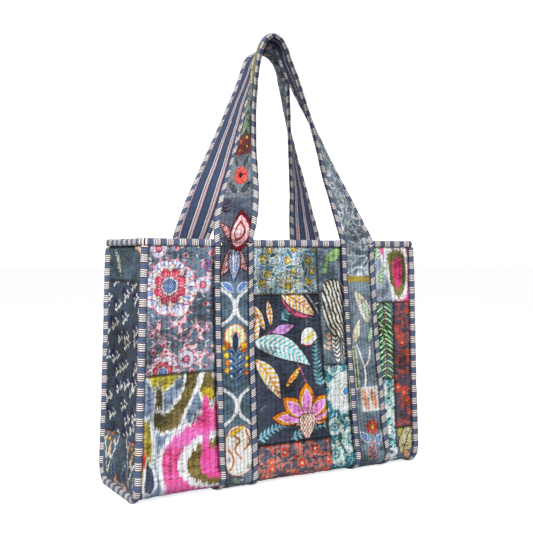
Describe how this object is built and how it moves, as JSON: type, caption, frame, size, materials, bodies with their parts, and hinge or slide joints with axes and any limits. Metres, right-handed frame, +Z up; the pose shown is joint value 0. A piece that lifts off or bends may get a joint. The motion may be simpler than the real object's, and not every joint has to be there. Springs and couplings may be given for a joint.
{
  "type": "knitting bag",
  "caption": "Quilted patchwork cotton bag for knitting, open at the top, with gussets, striped bindings and two long strap handles that fold down.",
  "frame": {"origin": "middle of the footprint on the ground, under the base", "axes": "+Z up, front panel faces -Y, +X to the right seen from the front"},
  "size_m": [0.46, 0.1656, 0.6527],
  "materials": {
    "striped_lining": "matte quilted cotton",
    "wadding": "soft cotton wadding",
    "striped_binding": "matte quilted cotton",
    "slate_gusset_print": "matte quilted cotton",
    "strap_print": "matte quilted cotton",
    "pink_ikat_print": "matte quilted cotton",
    "charcoal_leaf_print": "matte quilted cotton",
    "teal_print": "matte quilted cotton",
    "rust_print": "matte quilted cotton",
    "grey_print": "matte quilted cotton",
    "slate_flower_print": "matte quilted cotton"
  },
  "bodies": {
    "bag": {"back_left_band": "strap_print", "back_patch_lower_left": "slate_flower_print", "back_patch_lower_middle": "teal_print", "back_patch_lower_right": "grey_print", "back_patch_upper_left": "slate_flower_print", "back_patch_upper_middle": "charcoal_leaf_print", "back_patch_upper_right": "rust_print", "back_right_band": "strap_print", "back_wadding": "wadding", "base_left_band": "strap_print", "base_patch_left": "slate_flower_print", "base_patch_middle": "slate_flower_print", "base_patch_right": "slate_flower_print", "base_right_band": "strap_print", "base_wadding": "wadding", "body_lining": "striped_lining", "front_left_band": "strap_print", "front_patch_big_flower": "slate_flower_print", "front_patch_coral": "rust_print", "front_patch_ikat": "pink_ikat_print", "front_patch_leaves": "charcoal_leaf_print", "front_patch_palm": "grey_print", "front_patch_pink_ikat": "pink_ikat_print", "front_patch_rust": "rust_print", "front_patch_scrolls": "teal_print", "front_patch_sea_flowers": "teal_print", "front_patch_stems": "grey_print", "front_patch_stripes": "grey_print", "front_patch_teal": "teal_print", "front_right_band": "strap_print", "front_wadding": "wadding", "left_band_left_binding": "striped_binding", "left_band_right_binding": "striped_binding", "left_gusset_binding": "striped_binding", "left_gusset_lining": "striped_lining", "left_gusset_patch_bottom": "slate_gusset_print", "left_gusset_patch_middle": "slate_gusset_print", "left_gusset_patch_top": "slate_gusset_print", "left_gusset_wadding": "wadding", "right_band_left_binding": "striped_binding", "right_band_right_binding": "striped_binding", "right_gusset_binding": "striped_binding", "right_gusset_lining": "striped_lining", "right_gusset_patch_bottom": "slate_gusset_print", "right_gusset_patch_middle": "slate_gusset_print", "right_gusset_patch_top": "slate_gusset_print", "right_gusset_wadding": "wadding", "top_binding": "striped_binding"},
    "front_handle": {"front_handle_core": "wadding", "front_handle_cover": "strap_print", "front_handle_far_binding": "striped_binding", "front_handle_lining": "striped_lining", "front_handle_near_binding": "striped_binding"},
    "back_handle": {"back_handle_core": "wadding", "back_handle_cover": "strap_print", "back_handle_far_binding": "striped_binding", "back_handle_lining": "striped_lining", "back_handle_near_binding": "striped_binding"}
  },
  "joints": [
    {"name": "front_handle_fold", "type": "hinge", "parent": "bag", "child": "front_handle", "pos_m": [0, -0.0753, 0.35025], "axis": [1, 0, 0], "range_deg": [0, 160]},
    {"name": "back_handle_fold", "type": "hinge", "parent": "bag", "child": "back_handle", "pos_m": [0, 0.0753, 0.35025], "axis": [-1, 0, 0], "range_deg": [0, 160]}
  ]
}
